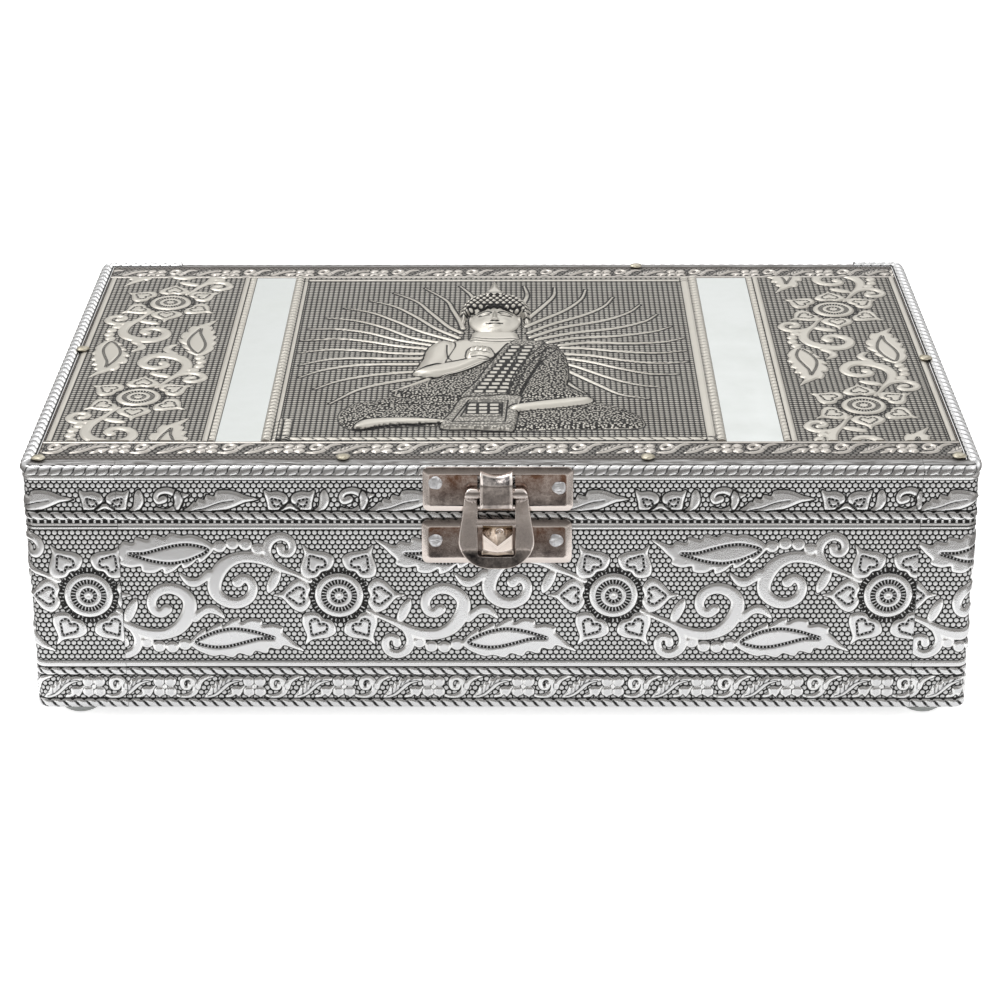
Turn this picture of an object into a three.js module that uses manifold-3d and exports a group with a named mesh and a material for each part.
// Keepsake box: wooden boards clad in pressed metal sheet, with a hinged lid and a hasp in front.
// Millimetres. X runs along the front, the front faces -Y, +Z is up and the feet stand on z = 0.
import * as THREE from "three";
import Module from "manifold-3d";

const wasm = await Module();
wasm.setup();

const quarter = Math.PI / 2;
const group = new THREE.Group();

// The outer faces of the sheet, and the heights that follow from them.
const boxWidth = 250;
const boxDepth = 158;
const footHeight = 3.35;
const coverThickness = 0.4;
const seat = 0.05;
const sheetThickness = 0.6;
const cladHeight = 71.9;
const lidHeight = 13.15;
const seamGap = 0.3;
const overrun = 20;
const cornerRadius = 4;
const halfWidth = boxWidth / 2;
const halfDepth = boxDepth / 2;
const cladBottom = footHeight + coverThickness + seat;
const cladTop = cladBottom + cladHeight;
const seam = cladTop - lidHeight;
const baseTop = seam - seamGap / 2;
const lidBottom = seam + seamGap / 2;

// Boards inside the sheet.
const wallThickness = 6;
const floorThickness = 4;
const lidBoardThickness = 4.4;
const liningThickness = 1.2;
const liningDrop = 1;
const boardInset = sheetThickness + seat;
const boardRadius = cornerRadius - boardInset;
const boardHalfWidth = halfWidth - boardInset;
const boardHalfDepth = halfDepth - boardInset;
const roomHalfWidth = boardHalfWidth - wallThickness;
const roomHalfDepth = boardHalfDepth - wallThickness;
const boardBottom = cladBottom + sheetThickness + seat;
const floorTop = boardBottom + floorThickness;
const lidBoardTop = cladTop - sheetThickness - seat;
const lidBoardBottom = lidBoardTop - lidBoardThickness;
const railTop = lidBoardBottom - seat;

// Raised bands of the sheet. The lower ones stack up from its bottom edge, the upper ones down from
// the seam, and those of the lid down from its top.
const flangeDepth = 3.4;
const bottomEdgeRadius = 1.6;
const topEdgeRadius = 1.8;
const ropeRise = 0.4;
const lineRise = 0.22;
const bandGap = 0.2;
const bottomRopeHeight = 2.9;
const borderHeight = 7.3;
const lowRopeHeight = 2.2;
const doubleLineHeight = 1.75;
const beadHeight = 0.55;
const highRopeHeight = 2.3;
const lidLineHeight = 0.4;
const topRopeHeight = 4.1;
const ropeSteps = 4;
const lineSteps = 2;
const cornerSteps = 4;
const lowRopeZ = cladBottom + bottomRopeHeight + borderHeight;
const lowLineZ = lowRopeZ + lowRopeHeight + bandGap;
const highRopeZ = baseTop - bandGap - highRopeHeight;
const beadZ = highRopeZ - beadHeight;
const highLineZ = beadZ - bandGap - doubleLineHeight;
const topRopeZ = cladTop - topRopeHeight;
const lidLineZ = topRopeZ - lidLineHeight;

// Where the side sheets end on the front and the back.
const leftLap = 24;
const rightLap = 14.5;
const lapGap = 0.1;
const flangeGap = 0.3;

const looks = {
  sheet: { color: 0xc9c8c4, roughness: 0.38, metalness: 1 },
  board: { color: 0x8a6a48, roughness: 0.85, metalness: 0 },
  velvet: { color: 0x4c1220, roughness: 0.95, metalness: 0 },
  felt: { color: 0x23211f, roughness: 0.95, metalness: 0 },
  nickel: { color: 0xb8aca0, roughness: 0.25, metalness: 1 },
  steel: { color: 0x9c9a94, roughness: 0.35, metalness: 1 },
  nail: { color: 0xc4c4c2, roughness: 0.42, metalness: 1 },
  rubber: { color: 0xdfe3e2, roughness: 0.3, metalness: 0 },
};

function add(name, geometry, look) {
  const mesh = new THREE.Mesh(geometry, new THREE.MeshStandardMaterial(looks[look]));
  mesh.name = name;
  group.add(mesh);
  return mesh;
}

function solid(geometry) {
  const triangles = geometry.index ? geometry.toNonIndexed() : geometry;
  const position = triangles.getAttribute("position");
  const found = new Map();
  const points = [];
  const corners = new Uint32Array(position.count);
  const grid = 1e4;
  for (let i = 0; i < position.count; i++) {
    const p = [position.getX(i), position.getY(i), position.getZ(i)];
    const key = p.map((value) => Math.round(value * grid)).join();
    if (!found.has(key)) {
      found.set(key, points.length);
      points.push(p);
    }
    corners[i] = found.get(key);
  }
  const kept = [];
  for (let i = 0; i < corners.length; i += 3) {
    const [a, b, c] = corners.subarray(i, i + 3);
    if (a !== b && b !== c && c !== a) kept.push(a, b, c);
  }
  return new wasm.Manifold(
    new wasm.Mesh({
      numProp: 3,
      vertProperties: new Float32Array(points.flat()),
      triVerts: new Uint32Array(kept),
    }),
  );
}

function shell(body) {
  const mesh = body.getMesh();
  const positions = new Float32Array(mesh.numVert * 3);
  for (let i = 0; i < mesh.numVert; i++) {
    const from = i * mesh.numProp;
    positions.set(mesh.vertProperties.subarray(from, from + 3), i * 3);
  }
  const geometry = new THREE.BufferGeometry();
  geometry.setAttribute("position", new THREE.BufferAttribute(positions, 3));
  geometry.setIndex(new THREE.BufferAttribute(new Uint32Array(mesh.triVerts), 1));
  return geometry;
}

function joined(...geometries) {
  return shell(geometries.map(solid).reduce((all, next) => all.add(next)));
}

function cut(geometry, ...tools) {
  return shell(tools.map(solid).reduce((left, tool) => left.subtract(tool), solid(geometry)));
}

function extruded(outline, length, basis, origin) {
  const shape = new THREE.Shape(outline.map(([u, v]) => new THREE.Vector2(u, v)));
  const geometry = new THREE.ExtrudeGeometry(shape, { depth: length, bevelEnabled: false });
  const matrix = new THREE.Matrix4().makeBasis(...basis);
  matrix.setPosition(...origin);
  return geometry.applyMatrix4(matrix);
}

const unitX = new THREE.Vector3(1, 0, 0);
const unitY = new THREE.Vector3(0, 1, 0);
const unitZ = new THREE.Vector3(0, 0, 1);

// An outline in y and z, drawn out along X.
function alongX(outline, from, to) {
  return extruded(outline, to - from, [unitY, unitZ, unitX], [from, 0, 0]);
}

// An outline in x and z, drawn out towards -Y.
function alongY(outline, from, to) {
  const towardsFront = unitY.clone().negate();
  return extruded(outline, to - from, [unitX, unitZ, towardsFront], [0, to, 0]);
}

// An outline in x and y, drawn out upwards.
function alongZ(outline, from, to) {
  return extruded(outline, to - from, [unitX, unitY, unitZ], [0, 0, from]);
}

function arc(centreU, centreV, radiusU, radiusV, start, end, steps) {
  const points = [];
  for (let i = 0; i <= steps; i++) {
    const angle = start + ((end - start) * i) / steps;
    points.push([centreU + radiusU * Math.cos(angle), centreV + radiusV * Math.sin(angle)]);
  }
  return points;
}

function rectangle(left, right, low, high) {
  return [
    [left, low],
    [right, low],
    [right, high],
    [left, high],
  ];
}

// A rectangle whose corners have their own radii, counted from the lower left one round to the right.
function rounded(left, right, low, high, radii, steps) {
  const corners = [
    [left, low, 1, 1, 2],
    [right, low, -1, 1, 3],
    [right, high, -1, -1, 0],
    [left, high, 1, -1, 1],
  ];
  return corners.flatMap(([u, v, inU, inV, turn], i) => {
    const r = radii[i];
    if (!r) return [[u, v]];
    return arc(u + inU * r, v + inV * r, r, r, turn * quarter, (turn + 1) * quarter, steps);
  });
}

// A closed skin through rings of equal counts, with flat ends cut by the ring's own outline.
function loft(rings, outline) {
  const count = outline.length;
  const positions = rings.flat().flat();
  const index = [];
  for (let ring = 0; ring + 1 < rings.length; ring++) {
    for (let i = 0; i < count; i++) {
      const a = ring * count + i;
      const b = ring * count + ((i + 1) % count);
      index.push(a, b, b + count);
      index.push(a, b + count, a + count);
    }
  }
  const flat = outline.map(([u, v]) => new THREE.Vector2(u, v));
  const last = (rings.length - 1) * count;
  for (const [a, b, c] of THREE.ShapeUtils.triangulateShape(flat, [])) {
    index.push(a, c, b);
    index.push(last + a, last + b, last + c);
  }
  if (volumeOf(positions, index) < 0) index.reverse();
  const geometry = new THREE.BufferGeometry();
  geometry.setAttribute("position", new THREE.Float32BufferAttribute(positions, 3));
  geometry.setIndex(index);
  return geometry;
}

function volumeOf(positions, index) {
  const corner = (i) => new THREE.Vector3().fromArray(positions, index[i] * 3);
  let sixfold = 0;
  for (let i = 0; i < index.length; i += 3) {
    sixfold += corner(i).dot(corner(i + 1).cross(corner(i + 2)));
  }
  return sixfold;
}

function turned(profile, steps) {
  const points = profile.map(([r, z]) => new THREE.Vector2(r, z));
  return new THREE.LatheGeometry(points, steps).rotateX(quarter);
}

// The sheet's section: outwards from its outer face, and up. The band list runs from the bottom up.
function band(low, height, rise, steps) {
  return arc(0, low + height / 2, rise, height / 2, -quarter, quarter, steps);
}

function baseSection() {
  const low = cladBottom;
  const inner = low + sheetThickness;
  const r = bottomEdgeRadius;
  return [
    [-flangeDepth, low],
    ...arc(-r, low + r, r + ropeRise, r, -quarter, 0, ropeSteps),
    ...arc(0, low + r, ropeRise, bottomRopeHeight - r, 0, quarter, ropeSteps).slice(1),
    ...band(lowRopeZ, lowRopeHeight, ropeRise, ropeSteps),
    ...band(lowLineZ, doubleLineHeight, lineRise, lineSteps),
    ...band(highLineZ, doubleLineHeight, lineRise, lineSteps),
    ...band(beadZ, beadHeight, lineRise, lineSteps).slice(0, -1),
    ...band(highRopeZ, highRopeHeight, ropeRise, ropeSteps),
    [0, baseTop],
    [-sheetThickness, baseTop],
    [-sheetThickness, inner],
    [-flangeDepth, inner],
  ];
}

function lidSection() {
  const high = cladTop;
  const inner = high - sheetThickness;
  const r = topEdgeRadius;
  return [
    [-sheetThickness, lidBottom],
    [0, lidBottom],
    ...band(lidLineZ, lidLineHeight, lineRise, lineSteps).slice(0, -1),
    ...arc(0, high - r, ropeRise, high - r - topRopeZ, -quarter, 0, ropeSteps),
    ...arc(-r, high - r, r + ropeRise, r, 0, quarter, ropeSteps).slice(1),
    [-flangeDepth, high],
    [-flangeDepth, inner],
    [-sheetThickness, inner],
  ];
}

// Places a section at a point of the outer face whose outward direction is given by an angle.
function ringAt(section, x, y, angle) {
  return section.map(([out, z]) => [x + out * Math.cos(angle), y + out * Math.sin(angle), z]);
}

// Front and back sheets run straight between the laps; their section faces along the given side.
function straightSheet(section, side, left, right) {
  const y = side * halfDepth;
  const ends = side < 0 ? [left, right] : [right, left];
  return loft(
    ends.map((x) => ringAt(section, x, y, side * quarter)),
    section,
  );
}

// A side sheet starts on one long face, turns two corners and ends on the other long face.
function wrappedSheet(section, side, lap) {
  const edge = halfWidth - cornerRadius;
  const depthEdge = halfDepth - cornerRadius;
  const path = [[halfWidth - lap, -halfDepth, -quarter]];
  const bends = [
    [-depthEdge, -quarter],
    [depthEdge, 0],
  ];
  for (const [y, start] of bends) {
    for (let i = 0; i <= cornerSteps; i++) {
      const angle = start + (quarter * i) / cornerSteps;
      const x = edge + cornerRadius * Math.cos(angle);
      path.push([x, y + cornerRadius * Math.sin(angle), angle]);
    }
  }
  path.push([halfWidth - lap, halfDepth, quarter]);
  const rings = path.map(([x, y, angle]) => ringAt(section, x, y, angle));
  if (side > 0) return loft(rings, section);
  const mirrored = rings.map((ring) => ring.map(([x, y, z]) => [-x, y, z]));
  return loft(mirrored.reverse(), section);
}

// Main raised forms of the pressed pattern: low blocks whose sides slope in. The field's outlines are
// shares of its height, with the flower's middle at zero.
const fieldPeriod = 73.05;
const frontFlowerX = 30;
const lapFlowerX = -109.8;
const rightFlowerY = -30.6;
const leftFlowerY = -19.4;
const motifRise = 0.35;
const discRise = 0.42;
const motifRoot = 0.3;
const motifTaper = 0.86;
const scrollTaper = 0.7;
const dieRepeats = 2;
const discShare = 0.163;
const discSteps = 8;
const petalShare = 0.446;
const notchShare = 0.217;
const petalAngles = [0, 57.5, 122.5, 180, 237.5, 302.5].map(THREE.MathUtils.degToRad);
const scrollLine = [
  [0.306, -0.173, 0.018],
  [0.581, -0.296, 0.038],
  [0.815, -0.217, 0.046],
  [0.805, 0.005, 0.043],
  [0.6, -0.03, 0.036],
];
const leafOutline = [
  [0.831, -0.364],
  [1.146, -0.466],
  [1.615, -0.428],
  [1.452, -0.245],
  [1.121, -0.194],
];
const fieldLow = lowLineZ + doubleLineHeight;
const fieldHeight = highLineZ - fieldLow;
const fieldMiddle = (fieldLow + highLineZ) / 2;

function block(foot, face, rise, place) {
  const rings = [
    foot.map(([u, v]) => place(u, v, -motifRoot)),
    face.map(([u, v]) => place(u, v, rise)),
  ];
  return solid(loft(rings, foot));
}

function mound(outline, rise, place) {
  const sum = outline.reduce(([a, b], [u, v]) => [a + u, b + v], [0, 0]);
  const [u, v] = sum.map((value) => value / outline.length);
  const face = outline.map(([a, b]) => [u + (a - u) * motifTaper, v + (b - v) * motifTaper]);
  return block(outline, face, rise, place);
}

// A band along a line of places and half widths.
function ribbon(line, share) {
  const right = [];
  const left = [];
  line.forEach(([u, v, half], i) => {
    const before = line[Math.max(i - 1, 0)];
    const after = line[Math.min(i + 1, line.length - 1)];
    const along = new THREE.Vector2(after[0] - before[0], after[1] - before[1]).normalize();
    right.push([u + along.y * half * share, v - along.x * half * share]);
    left.push([u - along.y * half * share, v + along.x * half * share]);
  });
  return [...right, ...left.reverse()];
}

function scaled(points, size) {
  return points.map((point) => point.map((value) => value * size));
}

function polar(radius, angle) {
  return [radius * Math.cos(angle), radius * Math.sin(angle)];
}

// One repeat of the field: a flower, then a scroll and a leaf, and both again turned half round.
function dieBlocks(size, period, place) {
  const star = petalAngles.flatMap((angle, i) => {
    const next = petalAngles[i + 1] ?? 4 * quarter;
    return [polar(petalShare, angle), polar(notchShare, (angle + next) / 2)];
  });
  const disc = arc(0, 0, discShare, discShare, 0, 4 * quarter, discSteps).slice(0, -1);
  const scroll = scaled(scrollLine, size);
  const foot = ribbon(scroll, 1);
  const face = ribbon(scroll, scrollTaper);
  const leaf = scaled(leafOutline, size);
  const halfTurned = (u, v, out) => place(period - u, -v, out);
  return [
    mound(scaled(star, size), motifRise, place),
    mound(scaled(disc, size), discRise, place),
    ...[place, halfTurned].flatMap((spot) => [
      block(foot, face, motifRise, spot),
      mound(leaf, motifRise, spot),
    ]),
  ];
}

function merged(blocks) {
  return blocks.reduce((all, next) => all.add(next));
}

// The repeats of a field that start at a flower, kept to the room the field has.
function fieldForms(size, period, place, room) {
  const blocks = [];
  for (let i = -dieRepeats; i <= dieRepeats; i++) {
    blocks.push(...dieBlocks(size, period, (u, v, out) => place(i * period + u, v, out)));
  }
  return merged(blocks).intersect(solid(room));
}

function onWall(place) {
  return (u, v, out) => place(u, fieldMiddle + v, out);
}

function wallForms(place, room) {
  return fieldForms(fieldHeight, fieldPeriod, onWall(place), room);
}

// Rooms that cut the fields off at the ends of their sheets.
function roomAlongX(from, to) {
  const reach = halfDepth + overrun;
  return alongX(rectangle(-reach, reach, 0, cladTop), from, to);
}

function roomAlongY(from, to) {
  const reach = halfWidth + overrun;
  return alongY(rectangle(-reach, reach, 0, cladTop), from, to);
}

// Seated figure on the top's middle panel, as shares of its height over the middle of its foot line.
const figureHeight = 116;
const figureFootShare = -0.684;
const figureRise = 2;
const figureForms = [
  {
    riseShare: 0.45,
    outline: [
      [-0.376, 0.041],
      [-0.328, 0.003],
      [0.267, -0.005],
      [0.333, 0.058],
      [0.255, 0.167],
      [0.086, 0.168],
      [-0.078, 0.176],
      [-0.233, 0.201],
      [-0.357, 0.153],
    ],
  },
  {
    riseShare: 0.65,
    outline: [
      [-0.121, 0.198],
      [0.164, 0.198],
      [0.155, 0.479],
      [0.129, 0.541],
      [0.052, 0.586],
      [-0.078, 0.586],
      [-0.177, 0.545],
      [-0.164, 0.396],
    ],
  },
  {
    riseShare: 0.8,
    outline: [
      [-0.207, 0.33],
      [-0.133, 0.359],
      [-0.128, 0.462],
      [-0.141, 0.567],
      [-0.179, 0.545],
      [-0.205, 0.413],
    ],
  },
  {
    riseShare: 0.95,
    outline: [
      [-0.207, 0.322],
      [-0.112, 0.358],
      [-0.026, 0.425],
      [-0.031, 0.512],
      [-0.083, 0.512],
      [-0.098, 0.429],
      [-0.216, 0.348],
    ],
  },
  {
    riseShare: 0.9,
    outline: [
      [0.012, 0.132],
      [0.031, 0.112],
      [0.202, 0.148],
      [0.202, 0.206],
      [0.095, 0.178],
    ],
  },
  {
    riseShare: 0.6,
    outline: [
      [-0.116, 0.011],
      [0.04, 0.008],
      [0.048, 0.178],
      [-0.083, 0.178],
    ],
  },
  {
    riseShare: 1,
    outline: [
      [0.053, 0.685],
      [0.04, 0.739],
      [0.007, 0.772],
      [-0.033, 0.772],
      [-0.066, 0.739],
      [-0.078, 0.685],
      [-0.066, 0.632],
      [-0.033, 0.599],
      [0.007, 0.599],
      [0.04, 0.632],
    ],
  },
  {
    riseShare: 0.85,
    outline: [
      [0.062, 0.743],
      [0.057, 0.834],
      [0.004, 0.876],
      [-0.014, 0.983],
      [-0.031, 0.876],
      [-0.09, 0.834],
      [-0.095, 0.743],
    ],
  },
];

// Nails: a low domed head on a shank, and the hole each one needs.
const shankRadius = 0.6;
const shankLength = 6.5;
const headRise = 0.7;
const headEdge = 0.25;
const nailSteps = 12;
const headRings = 3;

function nailGeometry(x, z, faceY, side, headRadius) {
  const dome = arc(0, headEdge, headRadius, headRise - headEdge, 0, quarter, headRings);
  const profile = [
    [0, -shankLength],
    [shankRadius, -shankLength],
    [shankRadius, 0],
    [headRadius, 0],
    ...dome.slice(0, -1),
    [0, headRise],
  ];
  const lift = seat / 2;
  const geometry = turned(profile, nailSteps);
  // The lathe's own axis is now z; it is laid along the outward direction.
  geometry.rotateX(side < 0 ? quarter : -quarter);
  return geometry.translate(x, faceY + side * lift, z);
}

function holeGeometry(x, z, faceY, side) {
  const depth = shankLength + seat;
  const profile = [
    [0, -depth],
    [shankRadius + seat, -depth],
    [shankRadius + seat, overrun],
    [0, overrun],
  ];
  const geometry = turned(profile, nailSteps);
  geometry.rotateX(side < 0 ? quarter : -quarter);
  return geometry.translate(x, faceY, z);
}

// Plates of the latch: pans with bevelled rims, seated on the raised bands either side of the seam.
const latchX = -1.1;
const plateWidth = 39.8;
const plateHeight = 12.3;
const plateThickness = 1.15;
const plateRim = 0.3;
const plateBevel = 1.25;
const plateRadius = 1.6;
const plateCornerSteps = 4;
const mountGap = 0.35;
const catchGap = 1.95;
const plateBack = -(halfDepth + ropeRise + seat);
const plateFace = plateBack - plateThickness;
const mountLow = seam + mountGap;
const mountHigh = mountLow + plateHeight;
const catchHigh = seam - catchGap;
const catchLow = catchHigh - plateHeight;

function pan(low, high) {
  const left = latchX - plateWidth / 2;
  const right = latchX + plateWidth / 2;
  const size = (shrink) => {
    const radius = plateRadius - shrink / 2;
    const corners = [radius, radius, radius, radius];
    const sides = [left + shrink, right - shrink, low + shrink, high - shrink];
    return rounded(...sides, corners, plateCornerSteps);
  };
  const outline = size(0);
  const place = (points, y) => points.map(([x, z]) => [x, y, z]);
  const rings = [
    place(outline, plateBack),
    place(outline, plateBack - plateRim),
    place(size(plateBevel), plateFace),
  ];
  return loft(rings, outline);
}

// A strip of one thickness along a line in y and z, drawn out along X.
function strip(line, thickness, from, to) {
  const left = [];
  const right = [];
  line.forEach(([y, z], i) => {
    const before = line[Math.max(i - 1, 0)];
    const after = line[Math.min(i + 1, line.length - 1)];
    const one = new THREE.Vector2(y - before[0], z - before[1]).normalize();
    const two = new THREE.Vector2(after[0] - y, after[1] - z).normalize();
    const along = one.clone().add(two).normalize();
    const cosine = i && i + 1 < line.length ? along.dot(two) : 1;
    const reach = thickness / 2 / cosine;
    left.push([y - along.y * reach, z + along.x * reach]);
    right.push([y + along.y * reach, z - along.x * reach]);
  });
  const outline = [...right, ...left.reverse()];
  return alongX(outline, from, to);
}

// The hasp hangs from its rolled top bar, which passes behind the strap of the upper plate.
const barDrop = 6.2;
const barRadius = 1.5;
const barGap = 0.15;
const barSteps = 14;
const haspGap = 0.3;
const haspThickness = 1;
const haspTopWidth = 16.4;
const haspWidth = 20.1;
const haspShoulder = 2.2;
const haspTaper = 12.4;
const haspStraight = 2.2;
const lipHeight = 4.5;
const lipWidth = 8.4;
const lipSteps = 7;
const lipLeanShare = 0.45;
const windowWidth = 9.8;
const windowRadius = 0.7;
const windowSteps = 3;
const windowBridge = 2.05;
const upperWindowDrop = 7.75;
const lowerWindowHeight = 8.4;
const barZ = mountHigh - barDrop;
const barY = plateFace - barGap - barRadius;
const haspBack = plateFace - haspGap;
const haspFront = haspBack - haspThickness;
const haspShoulderZ = barZ - haspShoulder;
const haspWideZ = haspShoulderZ - haspTaper;
const haspCreaseZ = haspWideZ - haspStraight;
const haspLowZ = haspCreaseZ - lipHeight;
const upperWindowZ = barZ - upperWindowDrop;
const lowerWindowTop = upperWindowZ - windowBridge;
const lowerWindowZ = lowerWindowTop - lowerWindowHeight;
const windowLeft = latchX - windowWidth / 2;
const windowRight = latchX + windowWidth / 2;

// The strap of the upper plate, from its top root round the bar to its bottom root.
const strapWidth = 8.5;
const strapThickness = 0.7;
const strapGap = 0.15;
const strapTopInset = 1.1;
const strapLowInset = 1;
const strapBend = 2.7;
const strapRoot = 0.5;
const slotGap = 0.7;
const slotMargin = 0.5;
const strapFace = barY - barRadius - strapGap - strapThickness / 2;
const strapTopZ = mountHigh - strapTopInset;
const strapLowZ = mountLow + strapLowInset;
const strapLine = [
  [plateFace + strapRoot, strapTopZ],
  [plateFace - strapRoot, strapTopZ],
  [strapFace, barZ + strapBend],
  [strapFace, barZ - strapBend],
  [plateFace - strapRoot, strapLowZ],
  [plateFace + strapRoot, strapLowZ],
];

// The catch hook is riveted to the lower plate. It stands out through the hasp's lower window, and
// its lip turns out in front of the hasp's lower bar.
const hookWidth = 8;
const hookThickness = 0.7;
const hookTopGap = 0.5;
const hookSeat = 2.4;
const hookStand = 2.3;
const hookLip = 0.7;
const hookTipGap = 1.6;
const hookLipHeight = 1.2;
const hookBellyHeight = 1;
const hookBellyShare = 0.7;
const hookRootY = plateFace - seat - hookThickness / 2;
const hookTopZ = lowerWindowTop - hookTopGap;
const hookTipZ = lowerWindowZ + hookTipGap;
const hookKneeZ = hookTipZ + hookLipHeight;
const hookLine = [
  [hookRootY, hookTopZ],
  [hookRootY, hookTopZ - hookSeat],
  [haspFront - hookStand * hookBellyShare, hookKneeZ + hookBellyHeight],
  [haspFront - hookStand, hookKneeZ],
  [haspFront - hookStand - hookLip, hookTipZ],
];
const rivetDrop = 1.2;
const rivetRadius = 1.25;
const rivetRise = 0.45;
const rivetSteps = 12;
const rivetShank = 0.6;
const rivetZ = hookTopZ - rivetDrop;

// Places of the nails as shares of the plate's half width and of its height.
const frontNailShares = {
  hasp_mount_nail_left: [-0.8, 0.68],
  hasp_mount_nail_right: [0.825, 0.565],
  catch_nail_left: [-0.805, 0.52],
  catch_nail_right: [0.79, 0.52],
};
const frontHeadRadius = 1.8;

// Hinges on the back: leaves with knuckles on a pin, and a stop lug on the upper leaf.
const hingeInset = 55;
const leafWidth = 24;
const leafThickness = 0.8;
const leafRadius = 1.5;
const lowerLeafHeight = 14.1;
const upperLeafHeight = 8.6;
const lowerNailShare = 0.68;
const upperNailShare = 0.58;
const leafNailShare = 0.62;
const leafHeadRadius = 1.6;
const knuckleRadius = 1.9;
const knuckleGap = 0.15;
const knuckleWidth = 7.6;
const knuckleSteps = 14;
const boreRadius = 0.87;
const pinRadius = 0.8;
const pinHeadRadius = 1.5;
const pinHead = 0.7;
const pinSteps = 14;
const lugLength = 4;
const lugThickness = 0.8;
const lugGap = 0.1;
const lidOpening = THREE.MathUtils.degToRad(105);
const hingeX = halfWidth - hingeInset;
const leafHalf = leafWidth / 2;
const leafInner = halfDepth + ropeRise + seat;
const leafOuter = leafInner + leafThickness;
const axisY = leafInner + knuckleRadius;
const axisZ = seam;
const lowerLeafZ = axisZ - lowerLeafHeight;
const upperLeafZ = axisZ + upperLeafHeight;
const lowerNailZ = axisZ - lowerLeafHeight * lowerNailShare;
const upperNailZ = axisZ + upperLeafHeight * upperNailShare;
const lugOffset = axisY - leafOuter - lugGap - lugThickness / 2;
const lugAngle = lidOpening - quarter - Math.asin(lugOffset / lugLength);

function boreTool(y, z, radius, from, to, steps) {
  return alongX(arc(y, z, radius, radius, 0, 4 * quarter, steps).slice(0, -1), from, to);
}

function knuckle(from, to) {
  return boreTool(axisY, axisZ, knuckleRadius, from, to, knuckleSteps);
}

function hingeLeaf(centre, upper) {
  const left = centre - leafHalf;
  const right = centre + leafHalf;
  const inner = [centre - knuckleWidth / 2, centre + knuckleWidth / 2];
  const clear = knuckleRadius + knuckleGap;
  const radii = upper ? [0, 0, leafRadius, leafRadius] : [leafRadius, leafRadius, 0, 0];
  const heights = upper ? [axisZ, upperLeafZ] : [lowerLeafZ, axisZ];
  const sides = rounded(left, right, ...heights, radii, plateCornerSteps);
  const plate = alongY(sides, leafInner, leafOuter);
  const room = rectangle(leafInner - clear, axisY + clear, axisZ - clear, axisZ + clear);
  const gap = knuckleGap / 2;
  const notches = upper
    ? [
        alongX(room, left - clear, inner[0] + gap),
        alongX(room, inner[1] - gap, right + clear),
      ]
    : [alongX(room, inner[0] - gap, inner[1] + gap)];
  const rings = upper
    ? [knuckle(inner[0] + gap, inner[1] - gap)]
    : [knuckle(left, inner[0] - gap), knuckle(inner[1] + gap, right)];
  if (upper) {
    const along = [Math.cos(lugAngle), Math.sin(lugAngle)];
    const root = [axisY + along[0] * pinHeadRadius, axisZ + along[1] * pinHeadRadius];
    const tip = [axisY + along[0] * lugLength, axisZ + along[1] * lugLength];
    rings.push(strip([root, tip], lugThickness, inner[0] + gap, inner[1] - gap));
  }
  const leaf = joined(cut(plate, ...notches), ...rings);
  const bore = boreTool(axisY, axisZ, boreRadius, left - clear, right + clear, knuckleSteps);
  return cut(leaf, bore);
}

function hingePin(centre) {
  const reach = leafHalf + seat;
  const profile = [
    [0, -reach - pinHead],
    [pinHeadRadius, -reach - pinHead],
    [pinHeadRadius, -reach],
    [pinRadius, -reach],
    [pinRadius, reach],
    [pinHeadRadius, reach],
    [pinHeadRadius, reach + pinHead],
    [0, reach + pinHead],
  ];
  return turned(profile, pinSteps).rotateY(quarter).translate(centre, axisY, axisZ);
}

// Feet: clear domes with a flat to stand on.
const footRadius = 5.5;
const footFlatRadius = 2.4;
const footSideInset = 10;
const footFrontInset = 9;
const footX = halfWidth - footSideInset;
const footY = halfDepth - footFrontInset;
const footEdge = 0.5;
const footSteps = 18;
const footRings = 4;

function footGeometry() {
  const low = footFlatRadius;
  const height = footHeight - footEdge;
  const side = arc(low, height, footRadius - low, height, 0, -quarter, footRings);
  const profile = [[0, footHeight], [footRadius, footHeight], ...side, [0, 0]];
  return turned(profile.reverse(), footSteps);
}

// Holes: every piece a nail passes through is cut by the same tool.
const nails = [];
for (const [name, [across, up]] of Object.entries(frontNailShares)) {
  const low = name.startsWith("catch") ? catchLow : mountLow;
  const x = latchX + (across * plateWidth) / 2;
  const z = low + up * plateHeight;
  nails.push({ name, x, z, faceY: plateFace, side: -1, head: frontHeadRadius });
}
const leafNailX = leafNailShare * leafHalf;
for (const [hinge, centre] of [
  ["left", -hingeX],
  ["right", hingeX],
]) {
  for (const [leaf, z] of [
    ["lower", lowerNailZ],
    ["upper", upperNailZ],
  ]) {
    for (const [place, x] of [
      ["inner", -Math.sign(centre) * leafNailX],
      ["outer", Math.sign(centre) * leafNailX],
    ]) {
      const name = `hinge_${hinge}_${leaf}_nail_${place}`;
      nails.push({ name, x: centre + x, z, faceY: leafOuter, side: 1, head: leafHeadRadius });
    }
  }
}

function drilled(geometry, side, low, high) {
  const near = (nail) => nail.z > low - shankRadius && nail.z < high + shankRadius;
  const hit = nails.filter((nail) => nail.side === side && near(nail));
  const tools = hit.map((nail) => holeGeometry(nail.x, nail.z, nail.faceY, side));
  return tools.length ? cut(geometry, ...tools) : geometry;
}

// Base boards.
const frontOuter = [boardRadius, boardRadius, 0, 0];
const backOuter = [0, 0, boardRadius, boardRadius];

function longBoard(side, low, high) {
  const edges = [side * boardHalfDepth, side * roomHalfDepth].sort((a, b) => a - b);
  const radii = side < 0 ? frontOuter : backOuter;
  const outline = rounded(-boardHalfWidth, boardHalfWidth, ...edges, radii, cornerSteps);
  return drilled(alongZ(outline, low, high), side, low, high);
}

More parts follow.
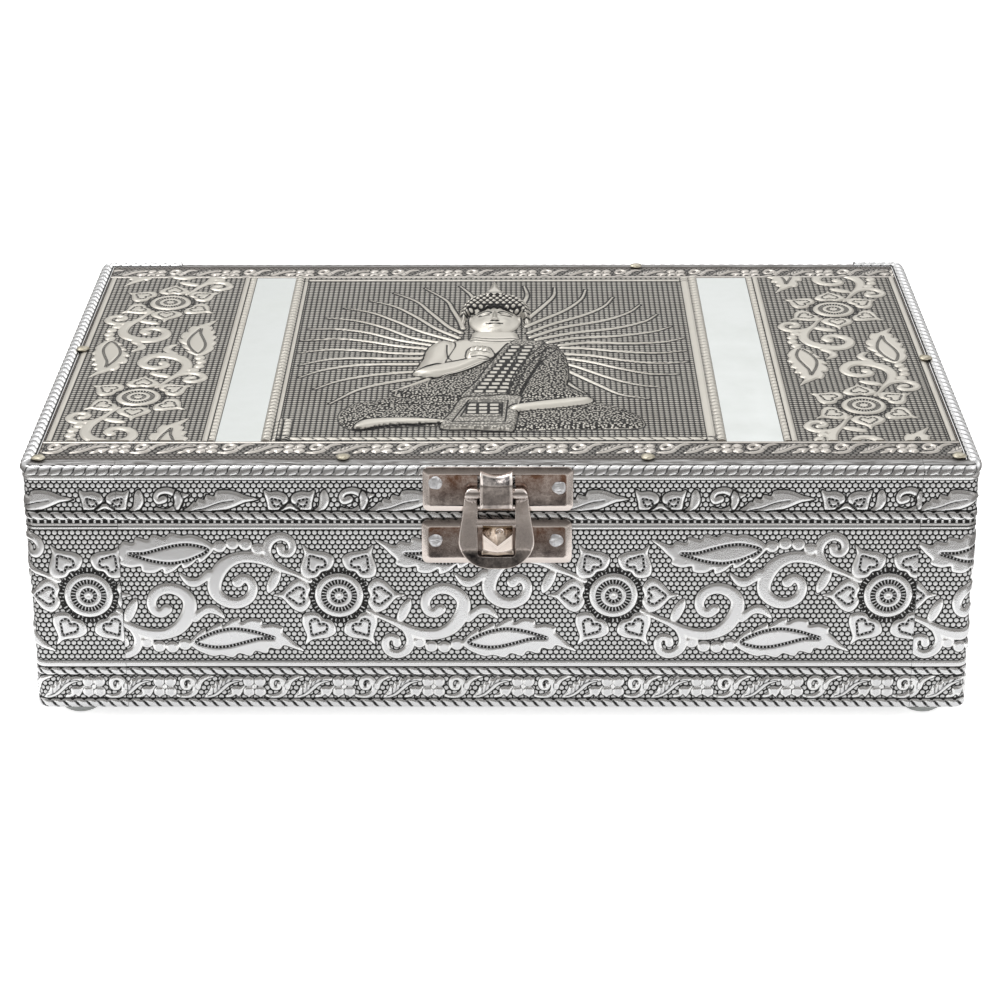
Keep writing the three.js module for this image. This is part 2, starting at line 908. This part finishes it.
function shortBoard(side, low, high) {
  const edges = [side * boardHalfWidth, side * roomHalfWidth].sort((a, b) => a - b);
  const end = roomHalfDepth - seat;
  return alongZ(rectangle(...edges, -end, end), low, high);
}

const lapLeftEdge = -halfWidth + leftLap + lapGap;
const lapRightEdge = halfWidth - rightLap - lapGap;
const baseProfile = baseSection();
const lidProfile = lidSection();
const longSides = [
  ["front", -1],
  ["back", 1],
];
const shortSides = [
  ["left", -1, leftLap],
  ["right", 1, rightLap],
];

// Fields of the four walls, each laid out along its wall's own way round.
const longRoom = roomAlongX(lapLeftEdge, lapRightEdge);
const shortRoom = roomAlongY(cornerRadius - halfDepth, halfDepth - cornerRadius);
const lapRoom = roomAlongX(cornerRadius - halfWidth, leftLap - halfWidth);
const frontPlace = (u, v, out) => [u, -halfDepth - out, v];
const fields = {
  front: wallForms((u, v, out) => frontPlace(frontFlowerX + u, v, out), longRoom),
  back: wallForms((u, v, out) => [-u, halfDepth + out, v], longRoom),
  right: wallForms((u, v, out) => [halfWidth + out, rightFlowerY + u, v], shortRoom),
  left: wallForms((u, v, out) => [-halfWidth - out, leftFlowerY - u, v], shortRoom).add(
    wallForms((u, v, out) => frontPlace(lapFlowerX + u, v, out), lapRoom),
  ),
};

function withField(geometry, name) {
  return shell(solid(geometry).add(fields[name]));
}

for (const [name, side] of longSides) {
  const wall = longBoard(side, boardBottom, baseTop);
  const rail = longBoard(side, lidBottom, railTop);
  const flatSheet = straightSheet(baseProfile, side, lapLeftEdge, lapRightEdge);
  const baseSheet = withField(flatSheet, name);
  const lidSheet = straightSheet(lidProfile, side, lapLeftEdge, lapRightEdge);
  add(`base_${name}_wall`, wall, "board");
  add(`lid_${name}_rail`, rail, "board");
  add(`base_${name}_sheet`, drilled(baseSheet, side, cladBottom, baseTop), "sheet");
  add(`lid_${name}_sheet`, drilled(lidSheet, side, lidBottom, cladTop), "sheet");
}
for (const [name, side, lap] of shortSides) {
  add(`base_${name}_wall`, shortBoard(side, boardBottom, baseTop), "board");
  add(`lid_${name}_rail`, shortBoard(side, lidBottom, railTop), "board");
  add(`base_${name}_sheet`, withField(wrappedSheet(baseProfile, side, lap), name), "sheet");
  add(`lid_${name}_sheet`, wrappedSheet(lidProfile, side, lap), "sheet");
}

function panel(inset, low, high) {
  const x = roomHalfWidth - inset;
  const y = roomHalfDepth - inset;
  return alongZ(rectangle(-x, x, -y, y), low, high);
}

const cardInset = liningThickness + 2 * seat;
add("base_floor_board", panel(seat, boardBottom, floorTop), "board");
add("floor_lining", panel(cardInset, floorTop + seat, floorTop + seat + liningThickness), "velvet");

const lidPlate = rounded(
  -boardHalfWidth,
  boardHalfWidth,
  -boardHalfDepth,
  boardHalfDepth,
  [boardRadius, boardRadius, boardRadius, boardRadius],
  cornerSteps,
);
const lidBoard = alongZ(lidPlate, lidBoardBottom, lidBoardTop);
add("lid_board", drilled(lidBoard, -1, lidBoardBottom, lidBoardTop), "board");
add("lid_lining", panel(seat, railTop - liningThickness, railTop), "velvet");

// Card linings stand against the walls of the base and against the rails of the lid.
function wallLinings(part, low, high) {
  for (const [name, side] of longSides) {
    const far = side * (roomHalfDepth - seat);
    const near = side * (roomHalfDepth - seat - liningThickness);
    const edges = [far, near].sort((a, b) => a - b);
    const end = roomHalfWidth - seat;
    add(`${part}_${name}_lining`, alongZ(rectangle(-end, end, ...edges), low, high), "velvet");
  }
  for (const [name, side] of shortSides) {
    const far = side * (roomHalfWidth - seat);
    const near = side * (roomHalfWidth - seat - liningThickness);
    const edges = [far, near].sort((a, b) => a - b);
    const end = roomHalfDepth - cardInset;
    add(`${part}_${name}_lining`, alongZ(rectangle(...edges, -end, end), low, high), "velvet");
  }
}
wallLinings("base", floorTop + seat, baseTop - liningDrop);
wallLinings("lid", lidBottom + liningDrop, railTop - liningThickness - seat);

// The top sheet fills the frame left by the turned edges. Two raised lines run along its front and
// back, and lower ones between them mark its panels: flowers on the outer two, the figure in the middle.
const topInset = flangeDepth + flangeGap;
const panelLineWidth = 1.1;
const frameLineWidth = 1.4;
const frameLineRise = 0.3;
const lineRoot = 0.3;
const panelLineSteps = 3;
const panelLineShares = [-0.62, -0.492, 0.468, 0.612];
const frameLineShare = 0.815;
const topHalfX = halfWidth - topInset;
const topHalfY = halfDepth - topInset;
const frameLineY = frameLineShare * halfDepth;
const panelPeriod = 75.5;
const panelDie = 37.7;
const leftPanelFlower = [-0.804, 0.541];
const rightPanelFlower = [0.797, 0.462];

function raisedLine(middle, width, rise) {
  const half = width / 2;
  const low = cladTop - lineRoot;
  const ridge = arc(middle, cladTop, half, rise, 0, 2 * quarter, panelLineSteps);
  return [...ridge, [middle - half, low], [middle + half, low]];
}

// A field of flowers that runs from the back to the front, between two places across.
function panelForms([across, along], left, right) {
  const place = (u, v, out) => [across * halfWidth + v, along * halfDepth - u, cladTop + out];
  const sides = rectangle(left, right, -frameLineY, frameLineY);
  const room = alongZ(sides, cladTop - overrun, cladTop + overrun);
  return fieldForms(panelDie, panelPeriod, place, room);
}

function figure() {
  const foot = figureFootShare * halfDepth;
  const blocks = figureForms.map(({ riseShare, outline }) => {
    const place = (u, v, out) => [u, foot + v, cladTop + out];
    return mound(scaled(outline, figureHeight), figureRise * riseShare, place);
  });
  return merged(blocks);
}

function topSheet() {
  const sides = [-topHalfX, topHalfX];
  const plate = alongY(rectangle(...sides, cladTop - sheetThickness, cladTop), -topHalfY, topHalfY);
  const frameLines = [-frameLineY, frameLineY].map((y) =>
    alongX(raisedLine(y, frameLineWidth, frameLineRise), ...sides),
  );
  const panelLines = panelLineShares.map((share) =>
    alongY(raisedLine(share * halfWidth, panelLineWidth, lineRise), -frameLineY, frameLineY),
  );
  const lineX = panelLineShares.map((share) => share * halfWidth);
  const raised = [
    panelForms(leftPanelFlower, -topHalfX, lineX[0]),
    panelForms(rightPanelFlower, lineX[lineX.length - 1], topHalfX),
    figure(),
  ];
  return shell(merged([solid(joined(plate, ...frameLines, ...panelLines)), ...raised]));
}
add("lid_top_sheet", topSheet(), "sheet");

// Cover on the underside, with the feet under it.
const coverInset = flangeDepth + flangeGap;
const coverOutline = rounded(
  coverInset - halfWidth,
  halfWidth - coverInset,
  coverInset - halfDepth,
  halfDepth - coverInset,
  [0, 0, 0, 0],
  cornerSteps,
);
const coverLow = footHeight + seat;
add("underside_cover", alongZ(coverOutline, coverLow, boardBottom - seat), "felt");
for (const [front, y] of [
  ["front", -footY],
  ["back", footY],
]) {
  for (const [left, x] of [
    ["left", -footX],
    ["right", footX],
  ]) {
    add(`foot_${front}_${left}`, footGeometry().translate(x, y, 0), "rubber");
  }
}

// Hasp mount: upper plate with its slots and strap.
const slotHalf = strapWidth / 2 + slotGap;
const slotSides = [latchX - slotHalf, latchX + slotHalf];
const slot = rectangle(...slotSides, strapLowZ + slotMargin, strapTopZ - slotMargin);
const slotTool = alongY(slot, plateFace - overrun, plateBack + overrun);
const strap = strip(
  strapLine,
  strapThickness,
  latchX - strapWidth / 2,
  latchX + strapWidth / 2,
);
const mountPlate = joined(cut(pan(mountLow, mountHigh), slotTool), strap);
add("hasp_mount_plate", drilled(mountPlate, -1, mountLow, mountHigh), "nickel");

// Catch: lower plate, hook and rivet.
const rivetHole = rivetShank + seat;
const rivetTool = turned(
  [
    [0, -overrun],
    [rivetHole, -overrun],
    [rivetHole, overrun],
    [0, overrun],
  ],
  rivetSteps,
)
  .rotateX(quarter)
  .translate(latchX, plateFace, rivetZ);
const catchPlate = cut(pan(catchLow, catchHigh), rivetTool);
add("catch_plate", drilled(catchPlate, -1, catchLow, catchHigh), "nickel");
const hook = strip(hookLine, hookThickness, latchX - hookWidth / 2, latchX + hookWidth / 2);
add("catch_hook", cut(hook, rivetTool), "nickel");
const rivetLength = plateThickness + hookThickness;
const rivetProfile = [
  [0, -rivetLength],
  [rivetShank, -rivetLength],
  [rivetShank, 0],
  [rivetRadius, 0],
  ...arc(0, 0, rivetRadius, rivetRise, 0, quarter, headRings).slice(1, -1),
  [0, rivetRise],
];
const rivetSeat = plateFace - hookThickness - 2 * seat;
const rivet = turned(rivetProfile, rivetSteps).rotateX(quarter).translate(latchX, rivetSeat, rivetZ);
add("catch_rivet", rivet, "nickel");

// Half of the hasp's outline, from the lip's foot up its right side to the bar.
function haspSide() {
  const foot = lipWidth / 2;
  const round = haspWidth / 2 - foot;
  return [
    ...arc(foot, haspCreaseZ, round, lipHeight, -quarter, 0, lipSteps),
    [haspWidth / 2, haspWideZ],
    [haspTopWidth / 2, haspShoulderZ],
    [haspTopWidth / 2, barZ],
  ];
}

// Hasp: a plate with two windows, a rolled bar on top and a lip that leans outwards.
function haspPlate() {
  const right = haspSide();
  const left = right.map(([x, z]) => [-x, z]).reverse();
  const outline = [...right, ...left].map(([x, z]) => [latchX + x, z]);
  const blank = solid(alongY(outline, haspFront, haspBack));
  const sides = [latchX - haspWidth, latchX + haspWidth];
  const above = rectangle(...sides, haspCreaseZ, barZ + overrun);
  const below = rectangle(...sides, haspLowZ - overrun, haspCreaseZ);
  const depth = [haspFront - overrun, haspBack + overrun];
  const flat = shell(blank.intersect(solid(alongY(above, ...depth))));
  const lip = shell(blank.intersect(solid(alongY(below, ...depth))));
  const position = lip.getAttribute("position");
  for (let i = 0; i < position.count; i++) {
    const drop = Math.max(haspCreaseZ - position.getZ(i), 0);
    position.setY(i, position.getY(i) - drop * lipLeanShare);
  }
  const ends = [latchX - haspTopWidth / 2, latchX + haspTopWidth / 2];
  const bar = boreTool(barY, barZ, barRadius, ...ends, barSteps);
  const corners = [windowRadius, windowRadius, 0, 0];
  const behindStrap = rounded(windowLeft, windowRight, upperWindowZ, barZ, corners, windowSteps);
  const aroundHook = rounded(
    windowLeft,
    windowRight,
    lowerWindowZ,
    lowerWindowTop,
    [windowRadius, windowRadius, windowRadius, windowRadius],
    windowSteps,
  );
  const upperTool = cut(alongY(behindStrap, ...depth), bar);
  return cut(joined(flat, lip, bar), upperTool, alongY(aroundHook, ...depth));
}
add("hasp_plate", haspPlate(), "nickel");

// Hinges and nails.
for (const [name, centre] of [
  ["left", -hingeX],
  ["right", hingeX],
]) {
  add(`hinge_${name}_lower_leaf`, drilled(hingeLeaf(centre, false), 1, lowerLeafZ, axisZ), "steel");
  add(`hinge_${name}_upper_leaf`, drilled(hingeLeaf(centre, true), 1, axisZ, upperLeafZ), "steel");
  add(`hinge_${name}_pin`, hingePin(centre), "steel");
}
for (const nail of nails) {
  add(nail.name, nailGeometry(nail.x, nail.z, nail.faceY, nail.side, nail.head), "nail");
}

export default group;
